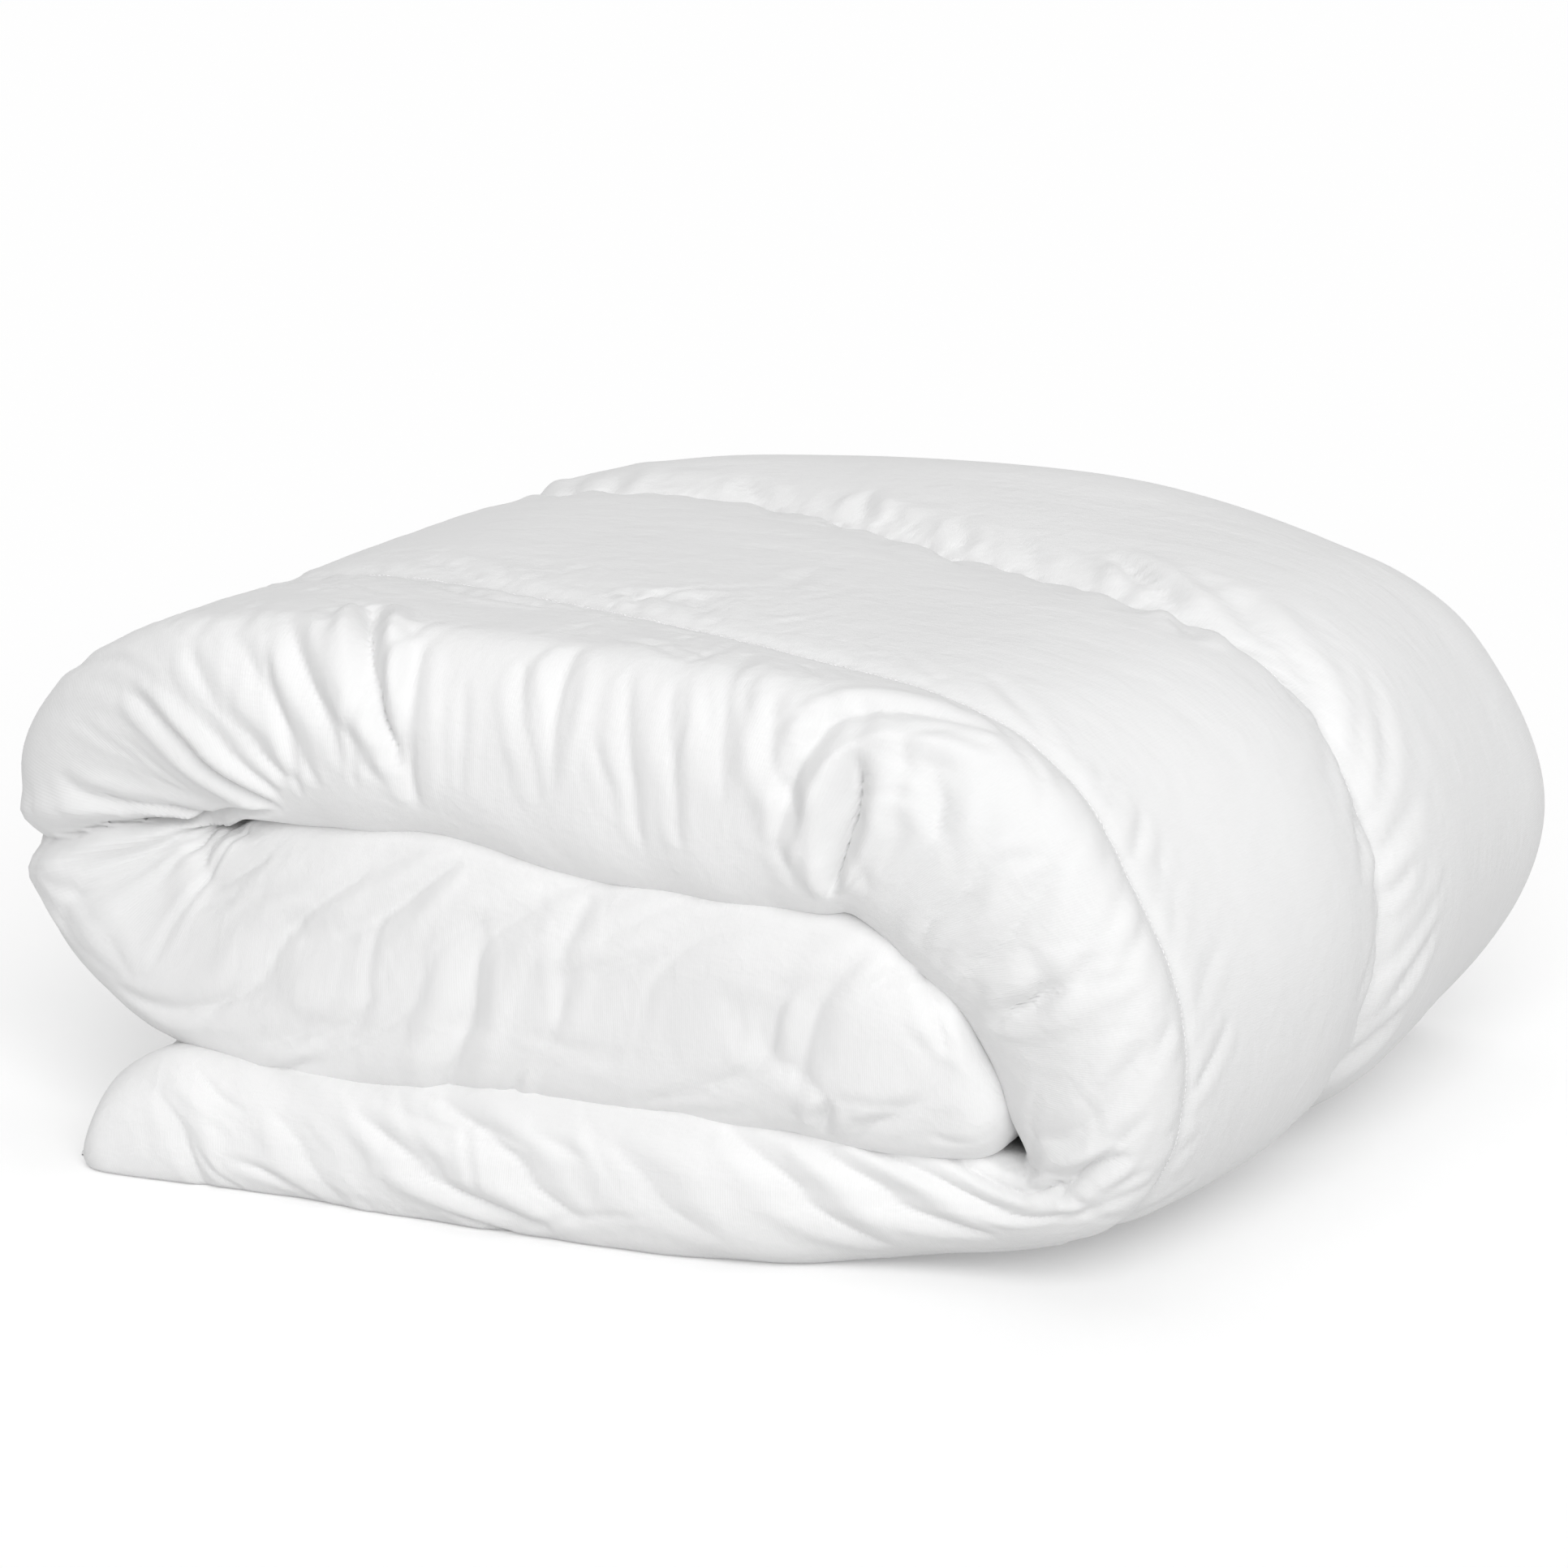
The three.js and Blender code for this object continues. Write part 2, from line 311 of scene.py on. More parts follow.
def relax(p, base, rest, keep, lift, fixed, steps, bend):
    """Cloth over filling: threads keep their length, the filling lifts, and the base shape holds."""
    along, across, down, up, bend_s, bend_w = rest
    n = normals(p)
    for step in range(steps):
        if step % 6 == 0:
            n = normals(p)
        p += n * lift
        p += (base - p) * keep
        for starts in ((0, 1), (2, 3)):
            for start in starts:
                a, b = p[start:-2:4], p[start + 2::4]
                m = min(len(a), len(b))
                hold(a[:m], b[:m], bend_s[start::4][:m], bend, 0)
            for start in starts:
                a, b = p[:, start:-2:4], p[:, start + 2::4]
                m = min(a.shape[1], b.shape[1])
                hold(a[:, :m], b[:, :m], bend_w[:, start::4][:, :m], bend, 0)
        for k in (0, 1):
            hold(p[k:-1:2, :-1], p[k + 1::2, 1:], down[k::2], *SLANT_HOLD)
            hold(p[k:-1:2, 1:], p[k + 1::2, :-1], up[k::2], *SLANT_HOLD)
        for k in (0, 1):
            hold(p[k:-1:2], p[k + 1::2], along[k::2], *THREAD_HOLD)
            hold(p[:, k:-1:2], p[:, k + 1::2], across[:, k::2], *THREAD_HOLD)
        p[fixed] = base[fixed]
        p[:, :, 2] = np.maximum(p[:, :, 2], ABOVE_FLOOR)
    return p


def rests(base, slack_s, slack_w):
    """Lengths of the fabric's threads: those of the base shape, and the slack that is gathered in."""
    def measure(a, b, k):
        return np.linalg.norm(b - a, axis=2) * k
    s_mid = 1 + (slack_s[1:] + slack_s[:-1]) / 2
    w_mid = 1 + (slack_w[:, 1:] + slack_w[:, :-1]) / 2
    along = measure(base[:-1], base[1:], s_mid)
    across = measure(base[:, :-1], base[:, 1:], w_mid)
    both = (s_mid[:, 1:] + w_mid[1:]) / 2
    down = measure(base[:-1, :-1], base[1:, 1:], both)
    up = measure(base[:-1, 1:], base[1:, :-1], both)
    bend_s = measure(base[:-2], base[2:], 1 + slack_s[1:-1] * 0.9)
    bend_w = measure(base[:, :-2], base[:, 2:], 1 + slack_w[:, 1:-1] * 0.9)
    return along, across, down, up, bend_s, bend_w


class Fold:
    """A fold in the fabric along a few points: a valley with the cloth heaped beside it, or a ridge."""

    def __init__(self, points, depth, width, heap=0.5):
        p = np.asarray(points, float)
        t = np.linspace(0, len(p) - 1, 8 * (len(p) - 1) + 1)
        k = np.clip(t.astype(int), 0, len(p) - 2)
        u = (t - k)[:, None]
        before = np.concatenate([p[:1] * 2 - p[1:2], p, p[-1:] * 2 - p[-2:-1]])
        m0, m1 = (before[k + 2] - before[k]) / 2, (before[k + 3] - before[k + 1]) / 2
        self.line = hermite(u, 1.0, p[k], p[k + 1], m0, m1)
        self.depth, self.width, self.heap = depth, width, heap

    def press(self, layer, height):
        """Adds this fold to the height of the fabric."""
        reach = 4 * self.width
        low, high = self.line.min(0) - reach, self.line.max(0) + reach
        i = slice(*np.searchsorted(layer.s, (low[0], high[0])))
        j = slice(*np.searchsorted(layer.w, (low[1], high[1])))
        here = np.stack([layer.S[i, j], layer.W[i, j]], 2)
        if here.size == 0:
            return
        best = np.full(here.shape[:2], 1e9)
        along = np.zeros(here.shape[:2])
        for k in range(len(self.line) - 1):
            a, d = self.line[k], self.line[k + 1] - self.line[k]
            u = np.clip(((here - a) @ d) / max(d @ d, 1e-9), 0, 1)
            far = ((here - a - u[:, :, None] * d) ** 2).sum(2)
            closer = far < best
            best = np.where(closer, far, best)
            along = np.where(closer, (k + u) / (len(self.line) - 1), along)
        fade = np.clip(4 * along * (1 - along), 0, 1) ** 0.6
        r = np.sqrt(best) / (self.width * (0.45 + 0.55 * fade))
        shape = -np.exp(-1.3 * r**1.2) + self.heap * np.exp(-((r - 1.9) / 0.95) ** 2)
        height[i, j] += self.depth * fade * shape


# The folds that give the bundle its look. Each has its middle as distance s along the duvet from its lower
# end and distance w round the layer from the nose (minus on the outer side), mm; the way it runs, degrees
# from the way of s towards w; its length and bow, mm; and its depth (minus is a ridge), width and heap.
FOLDS = [
    # upright pleats of the top layer
    (1185, -50, 115, 120, 0, 18, 7, 0.7), (1285, 5, 130, 90, -10, 7, 6, 0.8),
    (1270, -5, 125, 75, -5, 4, 6, 0.7), (1255, -15, 125, 80, -10, 5, 6, 0.6),
    (1235, -20, 120, 90, 0, 4, 6, 0.6), (1215, -35, 120, 95, 0, 6, 6, 0.6),
    (1200, -50, 120, 95, 0, 5, 6, 0.6), (1155, -15, 95, 90, 0, 8, 7, 0.5),
    (1085, -25, 110, 65, 0, 4, 6, 0.6), (1070, -35, 95, 75, 0, 6, 7, 0.6),
    (1025, -20, 105, 80, 0, 3, 5, 0.5), (1000, -20, 105, 75, 0, 3, 5, 0.5),
    (980, -50, 105, 100, 0, 4, 8, 0.5), (935, -25, 125, 80, -10, 5, 6, 0.6),
    # kink where the top layer turns down, with the cloth swept over it
    (895, 0, 110, 70, 0, 28, 8, 0.3), (890, -20, -130, 95, 25, -10, 8, 0.4),
    (900, -35, -130, 110, 30, 7, 6, 0.4), (865, -25, 135, 50, 5, 5, 6, 0.5),
    # about the pinched line at the left turn
    (1370, 10, 95, 60, -10, 5, 6, 0.6), (1345, 20, 140, 90, -15, 6, 6, 0.6),
    (1415, -10, -75, 65, 0, 5, 7, 0.5),
    # slanting folds of the middle layer
    (1520, -5, -155, 160, 0, 6, 6, 0.7), (1600, 20, -160, 110, 10, 6, 6, 0.8),
    (1600, -15, -155, 160, 0, 5, 7, 0.6), (1580, -10, -160, 100, 0, 5, 6, 0.7),
    (1665, 5, -145, 95, 0, 5, 8, 0.6), (1650, -20, -120, 80, 0, 6, 9, 0.5),
    (1720, 20, -110, 50, 0, 3, 6, 0.5), (1870, 15, -125, 70, 0, 4, 7, 0.5),
    (1840, -5, -15, 60, 0, 3, 6, 0.5), (1865, -30, -115, 30, 0, 6, 5, 0.6),
    (1930, 30, -65, 50, 0, 4, 6, 0.5), (1470, 35, -5, 80, -20, 4, 7, 0.5),
    # slanting folds of the bottom layer
    (310, 15, -40, 120, 0, 5, 8, 0.6), (275, 0, -30, 140, -5, 6, 7, 0.7), (185, -5, -50, 80, 5, 3, 9, 0.6),
    (85, -5, -65, 80, 10, 3, 9, 0.6), (475, 5, -45, 120, 0, 5, 8, 0.7), (520, 10, -35, 130, -5, 5, 7, 0.7),
    (555, 15, -25, 140, 0, 5, 6, 0.8), (590, 15, -35, 115, 10, 4, 6, 0.8), (395, 5, -40, 100, 0, 3, 9, 0.5),
    # hooks on the front of the right turn
    (750, -10, 120, 70, 0, 7, 6, 0.6), (760, -5, 150, 45, 5, 5, 6, 0.7), (690, -20, 140, 90, 5, 5, 8, 0.6),
    (635, -10, 135, 80, -5, 9, 6, 0.7), (810, 5, 120, 50, 0, 4, 6, 0.6), (790, -15, 125, 70, 0, 4, 7, 0.6),
    (655, -20, 140, 80, 0, 6, 6, 0.6),
    # behind the front row of stitching
    (1195, -195, 150, 135, -5, 5, 7, 0.5), (1080, -175, 165, 85, 10, 4, 7, 0.5),
    (1180, -160, 160, 110, -5, 4, 6, 0.5), (1045, -250, 100, 50, 0, 2, 7, 0.4),
]

# The pinched line of the left turn, from the outside round the nose and on along the crevice: (s, w), mm.
PINCH = [(1400, -110), (1400, -50), (1395, -10), (1380, 25), (1350, 42), (1260, 42)]

# Groups of small folds: s from and to, w from and to, direction in degrees (0 runs along the duvet), spread
# of that, length, depth, width and how many.
GATHERS = [
    ((1150, 1350), (-70, 10), -66, 16, 60, 2.2, 3.6, 24),
    ((950, 1150), (-70, 10), -72, 16, 50, 1.5, 3.4, 10),
    ((940, 1300), (-110, -60), -58, 26, 46, 1.5, 3.4, 34),
    ((780, 940), (-60, 20), -50, 30, 50, 2.2, 3.8, 26), ((620, 780), (-60, 20), -48, 22, 60, 2.0, 3.8, 26),
    ((60, 440), (-50, 45), -30, 18, 80, 1.7, 3.6, 24), ((1430, 1960), (-60, 50), 26, 16, 85, 2.2, 4.2, 48),
    ((1330, 1460), (-60, 60), -20, 50, 50, 2.4, 4.2, 20),
    ((1000, 1320), (-240, -140), 150, 40, 45, 1.8, 3.8, 50),
    ((620, 1320), (-420, -120), 3, 8, 130, 0.35, 3.4, 70),
]
GATHER_SEED = 41

# Puckers along the stitching: where they begin and end along the duvet, then length, depth and width.
PUCKERED = (600.0, 1420)
FRONT_PUCKER = (42, 2.4, 4.5)
REAR_PUCKER = (75, 7.0, 7.0)


def swept(middle, heading, length, bow):
    """Three points of a fold: both ends and the bowed middle."""
    way = np.array([math.cos(math.radians(heading)), math.sin(math.radians(heading))])
    aside = np.array([-way[1], way[0]])
    middle = np.array(middle, float)
    return middle - way * length / 2, middle + aside * bow, middle + way * length / 2


def fold_list(layer, sizes):
    """Every fold: the named ones, the small ones, and the puckers along the rows of stitching."""
    folds = [Fold(PINCH, sizes.pinch_depth, 5, 0.4)]
    for s, w, heading, length, bow, depth, width, heap in FOLDS:
        folds.append(Fold(swept((s, w), heading, length, bow), depth * sizes.fold_depth, width, heap))
    rng = np.random.default_rng(GATHER_SEED)
    for along, across, angle, spread, length, depth, width, count in GATHERS:
        for _ in range(count):
            middle = (rng.uniform(*along), rng.uniform(*across))
            heading = angle + rng.normal(0, spread)
            run = length * rng.uniform(0.5, 1.3)
            points = swept(middle, heading, run, run * rng.normal(0, 0.09))
            size = rng.uniform(0.35, 1.25) ** 1.6 * sizes.gather_depth
            folds.append(Fold(points, depth * size, width * rng.uniform(0.8, 1.3)))
    first, second = stitching(layer)
    for row, length, depth, width in ((first, *FRONT_PUCKER), (second, *REAR_PUCKER)):
        s = PUCKERED[0]
        while s < PUCKERED[1]:
            s += rng.gamma(3, 7)
            w = np.interp(s, layer.s, row[:, 0])
            wave = 0.7 + 0.3 * math.sin(s / 37 + row[0, 0])
            amount = sizes.gather_depth * depth * rng.uniform(0.2, 1.3) * wave
            for side in (-1, 1):
                run = length * rng.uniform(0.4, 1.2) * (1 if side < 0 else 0.6)
                end = (s - side * run * rng.uniform(0.2, 1.3), w + side * run)
                mid = ((s + end[0]) / 2 + rng.uniform(-5, 5), (w + end[1]) / 2)
                folds.append(Fold(((s, w), mid, end), amount, width * rng.uniform(0.7, 1.3), 0.7))
    return folds


def shape_fabric(sizes):
    """The relaxed outer panel and the inner panel, in metres, with the layer they follow."""
    layer = Layer()
    base, inner = section(layer, sizes)
    s, w = layer.S, layer.W
    a = np.abs(w)
    free = exposed(layer)
    out = normals(base)
    flip = np.sign(((base - inner) * out).sum(2).mean())
    out *= flip
    first, second = stitching(layer)
    seam = np.minimum(np.abs(w - first), np.abs(w - second))
    hem = HALF - a
    end = np.minimum(s, layer.length - s)
    edge = smooth(0, 40, np.minimum(hem, end))
    # pleats: upright on the top layer's front, slanting on the two below, long and fine on the outside
    bottom = 1 - smooth(layer.at(150, 40), layer.at(300, 60), s)
    middle = smooth(layer.at(-300, 180), layer.at(-250, 130), s)
    upper = 1 - np.maximum(bottom, middle)
    face = np.exp(-((a / 105) ** 4))
    seed = 0.35 * upper * face * ripple(s, w, 75, 160, 110, 11)
    seed = seed + 0.5 * bottom * ripple(s, w, 70, 170, -32, 12) * face
    seed = seed + 0.7 * middle * ripple(s, w, 66, 210, 26, 13) * face
    seed = seed + 0.1 * (1 - face) * ripple(s, w, 40, 300, 2, 14) * (1 - np.exp(-seam / 60))
    marks = np.zeros_like(s)
    for fold in fold_list(layer, sizes):
        fold.press(layer, marks)
    marks *= 1 - 0.75 * np.exp(-((seam / 11) ** 2))
    lump = (marks + seed * sizes.pleat_seed * 0.5) * edge * (0.2 + 0.8 * free)
    base = base + out * lump[:, :, None]
    start = base + out * (seed * edge * free * sizes.pleat_seed * 0.5)[:, :, None]
    slack_s = (0.004 + 0.007 * face + 0.010 * np.exp(-seam / 40)) * sizes.slack * edge * free
    slack_w = (0.002 + 0.007 * face * (bottom + middle)) * sizes.slack * edge * free
    keep = 0.02 + 0.10 * (1 - free) + 0.35 * np.exp(-((seam / 4) ** 2))
    lift = (0.03 * free * flip)[:, :, None]
    fixed = (hem < 1) | (end < 1)
    p = relax(start.copy(), base, rests(base, slack_s, slack_w), keep[:, :, None], lift, fixed,
              sizes.steps, sizes.stiffness)
    move = p - base
    far = np.linalg.norm(move, axis=2, keepdims=True)
    p = base + move * (FARTHEST * np.tanh(far / FARTHEST) / np.maximum(far, 1e-6))
    p[:, :, 2] = np.maximum(p[:, :, 2], ABOVE_FLOOR)
    inner[fixed] = p[fixed]
    return layer, p * MM, inner * MM


def add(name, data):
    """A new object in the scene."""
    obj = bpy.data.objects.new(name, data)
    bpy.context.scene.collection.objects.link(obj)
    return obj


def shell(name, outer, inner, layer, first, last, material):
    """A closed puffed piece between two rows of the grid."""
    rows, columns = last - first + 1, layer.columns
    top = np.arange(rows * columns).reshape(rows, columns)
    low = top + rows * columns
    low[:, 0], low[:, -1] = top[:, 0], top[:, -1]
    if first == 0:
        low[0] = top[0]
    if last == layer.rows - 1:
        low[-1] = top[-1]

    def grid(index, turn):
        a, b, c, d = index[:-1, :-1], index[:-1, 1:], index[1:, 1:], index[1:, :-1]
        return np.stack([a, b, c, d] if turn else [a, d, c, b], 2).reshape(-1, 4)

    faces = np.concatenate([grid(top, True), grid(low, False)])
    caps = []
    for row, open_end, turn in ((0, first > 0, False), (rows - 1, last < layer.rows - 1, True)):
        if not open_end:
            continue
        t, l = top[row], low[row]
        for j in range(columns - 1):
            ring = [t[j], t[j + 1], l[j + 1], l[j]]
            ring = [v for k, v in enumerate(ring) if v not in ring[:k]]
            caps.append(ring if turn else ring[::-1])
    points = np.concatenate([outer[first:last + 1].reshape(-1, 3), inner[first:last + 1].reshape(-1, 3)])
    used = np.zeros(len(points), bool)
    used[top] = True
    used[low] = True
    index = np.cumsum(used) - 1
    faces = index[faces]
    mesh = bpy.data.meshes.new(name)
    mesh.from_pydata(points[used].tolist(), [], faces.tolist() + [[int(index[v]) for v in c] for c in caps])
    place = np.concatenate([np.stack([layer.S, layer.W], 2)[first:last + 1].reshape(-1, 2),
                            np.stack([layer.S, layer.W + 3000], 2)[first:last + 1].reshape(-1, 2)])[used] * MM
    uv = mesh.uv_layers.new(name="Fabric")
    corner = np.empty(len(mesh.loops), np.int32)
    mesh.loops.foreach_get("vertex_index", corner)
    uv.data.foreach_set("uv", place[corner].astype(np.float32).ravel())
    mesh.polygons.foreach_set("use_smooth", np.ones(len(mesh.polygons), bool))
    mesh.materials.append(material)
    mesh.update()
    facing = np.concatenate([normals(outer)[first:last + 1].reshape(-1, 3),
                             -normals(inner)[first:last + 1].reshape(-1, 3)])[used]
    mesh.normals_split_custom_set_from_vertices(facing.tolist())
    return add(name, mesh)


def percale():
    """Node group: fabric coordinates in metres give the tone, the roughness and the relief of fine cotton."""
    group = bpy.data.node_groups.new("Percale", "ShaderNodeTree")
    socket = group.interface.new_socket
    socket("Vector", in_out="INPUT", socket_type="NodeSocketVector")
    for name in ("Tone", "Rough", "Height"):
        socket(name, in_out="OUTPUT", socket_type="NodeSocketFloat")
    nodes, link = group.nodes, group.links.new
    start, finish = nodes.new("NodeGroupInput"), nodes.new("NodeGroupOutput")

    def noise(scale, stretch, detail):
        mapping = nodes.new("ShaderNodeMapping")
        mapping.inputs["Scale"].default_value = stretch
        link(start.outputs["Vector"], mapping.inputs["Vector"])
        node = nodes.new("ShaderNodeTexNoise")
        node.inputs["Scale"].default_value = scale
        node.inputs["Detail"].default_value = detail
        link(mapping.outputs["Vector"], node.inputs["Vector"])
        return node.outputs["Fac"]

    def maths(operation, a, b):
        node = nodes.new("ShaderNodeMath")
        node.operation = operation
        for value, place in ((a, 0), (b, 1)):
            if isinstance(value, float):
                node.inputs[place].default_value = value
            else:
                link(value, node.inputs[place])
        return node.outputs["Value"]

    def ridged(value, amount):
        return maths("MULTIPLY", maths("ABSOLUTE", maths("SUBTRACT", value, 0.5), 0.0), amount)

    pull = ridged(noise(60, (0.6, 1.7, 1), 3), 0.5)
    crumple = ridged(noise(38, (1, 1, 1), 4), 1.6)
    weave = nodes.new("ShaderNodeTexWave")
    weave.inputs["Scale"].default_value = 260
    weave.inputs["Distortion"].default_value = 0.4
    link(start.outputs["Vector"], weave.inputs["Vector"])
    relief = maths("ADD", maths("ADD", pull, crumple), maths("MULTIPLY", weave.outputs["Fac"], 0.05))
    cloud = noise(9, (1, 1, 1), 2)
    link(cloud, finish.inputs["Tone"])
    link(maths("ADD", maths("MULTIPLY", noise(300, (1, 1, 1), 2), 0.12), 0.6), finish.inputs["Rough"])
    link(relief, finish.inputs["Height"])
    return group


def fabric_material(name, group, light, dark, relief, sheen, own_map):
    """A cotton finish from the shared group, on the piece's own map or on its place."""
    material = bpy.data.materials.new(name)
    material.use_nodes = True
    tree = material.node_tree
    nodes, link = tree.nodes, tree.links.new
    shader = nodes["Principled BSDF"]
    shader.inputs["Sheen Weight"].default_value = sheen
    shader.inputs["Sheen Roughness"].default_value = 0.35
    shader.inputs["Specular IOR Level"].default_value = 0.3
    cloth = nodes.new("ShaderNodeGroup")
    cloth.node_tree = group
    place = nodes.new("ShaderNodeUVMap" if own_map else "ShaderNodeTexCoord")
    if own_map:
        place.uv_map = "Fabric"
    link(place.outputs["UV" if own_map else "Object"], cloth.inputs["Vector"])
    tone = nodes.new("ShaderNodeMix")
    tone.data_type = "RGBA"
    link(cloth.outputs["Tone"], tone.inputs["Factor"])
    tone.inputs["A"].default_value = (*dark, 1)
    tone.inputs["B"].default_value = (*light, 1)
    link(tone.outputs["Result"], shader.inputs["Base Color"])
    link(cloth.outputs["Rough"], shader.inputs["Roughness"])
    bump = nodes.new("ShaderNodeBump")
    bump.inputs["Strength"].default_value = 1.0
    bump.inputs["Distance"].default_value = relief
    link(cloth.outputs["Height"], bump.inputs["Height"])
    link(bump.outputs["Normal"], shader.inputs["Normal"])
    return material


def finishes(look):
    """The three finishes of the duvet, made once."""
    if "Cotton shell" not in bpy.data.materials:
        group = percale()
        light = tuple(look.colour)
        dark = tuple(c * look.shade for c in light)
        fabric_material("Cotton shell", group, light, dark, look.crinkle, 0.15, True)
        tape_tone, thread_tone = (tuple(c * shade for c in light) for shade in (0.98, 0.93))
        fabric_material("Hem tape", group, tape_tone, dark, look.crinkle * 0.3, 0.1, False)
        fabric_material("Sewing thread", group, light, thread_tone, look.crinkle * 0.1, 0.3, False)
    return [bpy.data.materials[name] for name in ("Cotton shell", "Hem tape", "Sewing thread")]


class DuvetSizes(bpy.types.PropertyGroup):
    """Shape of the filled and folded fabric."""

    nose_squareness: FloatProperty(
        name="Nose squareness", description="2 is a round front fold, more is squarer",
        default=2.3, min=2, max=5)
    pressed_squareness: FloatProperty(
        name="Pressed squareness", description="The same where layers press on each other",
        default=3.3, min=2, max=6)
    crown: FloatProperty(
        name="Crown", description="How far a channel puffs out, mm", default=9.0, min=0, max=12)
    crown_run: FloatProperty(
        name="Crown run", description="How far from the stitching the channel rounds over, mm",
        default=85.0)
    front_pinch: FloatProperty(
        name="Front pinch", description="Depth of the front rows of stitching, mm", default=7.0, min=0)
    rear_pinch: FloatProperty(
        name="Rear pinch", description="Depth of the rear rows of stitching, mm", default=20.0, min=0)
    fold_depth: FloatProperty(
        name="Folds", description="Depth of the named folds, 1 is as listed", default=0.6, min=0, max=2)
    pinch_depth: FloatProperty(
        name="Pinch", description="Depth of the pinched line at the left turn, mm",
        default=13.0, min=0, max=30)
    gather_depth: FloatProperty(
        name="Gathers", description="Depth of the small folds, 1 is as listed", default=0.55, min=0, max=2)
    slack: FloatProperty(
        name="Slack", description="Spare fabric gathered into wrinkles, 1 is as made", default=1.0, min=0)
    pleat_seed: FloatProperty(
        name="Pleat start", description="Height of the ripples that the pleats grow from, mm", default=1.8)
    stiffness: FloatProperty(
        name="Stiffness", description="How strongly the fabric resists a sharp fold",
        default=0.10, min=0, max=1)
    steps: IntProperty(
        name="Steps", description="Steps of the cloth relaxation", default=60, min=1)


class FabricLook(bpy.types.PropertyGroup):
    """Finish of the cotton."""

    colour: FloatVectorProperty(
        name="Cotton", description="Colour of the fabric", subtype="COLOR",
        default=(0.86, 0.86, 0.86), min=0, max=1)
    shade: FloatProperty(
        name="Shade", description="Brightness of the duller threads beside the cotton",
        default=0.97, min=0, max=1,
        subtype="FACTOR")
    crinkle: FloatProperty(
        name="Crinkle", description="Height of the finest creases",
        default=0.0010, min=0, max=0.01, unit="LENGTH")


class TrimSizes(bpy.types.PropertyGroup):
    """Hems and stitches."""

    hem_width: FloatProperty(
        name="Hem width", description="How far the hem stands out", default=0.008, min=0, unit="LENGTH")
    hem_thick: FloatProperty(
        name="Hem thickness", description="Thickness of the doubled hem",
        default=0.002, min=0, unit="LENGTH")
    stitch: FloatProperty(
        name="Stitch", description="Length of one stitch", default=0.003, min=0.001, unit="LENGTH")
    thread: FloatProperty(
        name="Thread", description="Thickness of the sewing thread", default=0.0007, min=0, unit="LENGTH")


class StageSizes(bpy.types.PropertyGroup):
    """Camera and light."""

    azimuth: FloatProperty(
        name="Azimuth", description="Camera turn to the right of the front", default=math.radians(28.5),
        subtype="ANGLE")
    elevation: FloatProperty(
        name="Elevation", description="Camera height above the horizon",
        default=math.radians(15.3), subtype="ANGLE")
    distance: FloatProperty(
        name="Distance", description="Camera to aim point", default=2.985, unit="LENGTH")
    lens: FloatProperty(name="Lens", description="Focal length, mm", default=121.1)
    aim: FloatVectorProperty(
        name="Aim", description="Point the camera looks at", default=(-0.020, 0.0, 0.177), subtype="XYZ")


PIECES = (("lower", "base", "side"), ("upper", "side", "flap"), ("tucked", "flap", None))
made = {}


def shaped(context):
    """The relaxed fabric, worked out once and shared by the operators."""
    if "fabric" not in made:
        made["fabric"] = shape_fabric(context.scene.duvet_sizes)
    return made["fabric"]


def piece_rows(layer):
    """First and last row of the grid in each piece: the fabric is parted where the duvet unfolds."""
    side = int(round(layer.at(296, 161) / CELL))
    left = int(round(layer.at(-284, 188) / CELL))
    return ((0, side), (side, left), (left, layer.rows - 1))


def tie(obj, piece):
    """Attaches the last piece to the body it is sewn to; any other piece only has its place baked into its
    mesh.
    """
    _, body, following = piece
    if following is None:
        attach(obj, body)
        return
    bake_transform(obj)


class DUVET_OT_fabric(bpy.types.Operator):
    """Make the puffed fabric of the folded duvet"""

    bl_idname = "duvet.fabric"
    bl_label = "Fabric"

    def execute(self, context):
        layer, outer, inner = shaped(context)
        cotton = finishes(context.scene.duvet_look)[0]
        for piece, (first, last) in zip(PIECES, piece_rows(layer)):
            obj = shell(piece[0] + "_wrap", outer, inner, layer, first, last, cotton)
            tie(obj, piece)
            mine = [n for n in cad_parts
                    if "_" + piece[1] in n and not n.startswith(("edge_hem", "end_hem"))]
            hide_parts(*mine)
        return {"FINISHED"}


def tape(points, outward, facing, width, thick):
    """Vertices and faces of a rounded strip whose inner edge follows the points."""
    ring = [(-0.15, 0.5), (0.85, 0.5), (1.0, 0.2), (1.0, -0.2), (0.85, -0.5), (-0.15, -0.5)]
    verts = [p + outward[k] * width * a + facing[k] * thick * b
             for k, p in enumerate(points) for a, b in ring]
    n, m = len(points), len(ring)
    faces = [[k * m + j, k * m + (j + 1) % m, (k + 1) * m + (j + 1) % m, (k + 1) * m + j]
             for k in range(n - 1) for j in range(m)]
    faces += [list(range(m))[::-1], [(n - 1) * m + j for j in range(m)]]
    return verts, faces


def unit(v):
    """Vectors of length 1 in the same directions."""
    return v / np.maximum(np.linalg.norm(v, axis=-1, keepdims=True), 1e-9)


def evened(v, reach=12):
    """A run of directions without its sharp turns."""
    soft = np.hanning(2 * reach + 1)
    padded = np.pad(v, ((reach, reach), (0, 0)), mode="edge")
    return unit(np.stack([np.convolve(padded[:, k], soft / soft.sum(), mode="valid") for k in range(3)], 1))


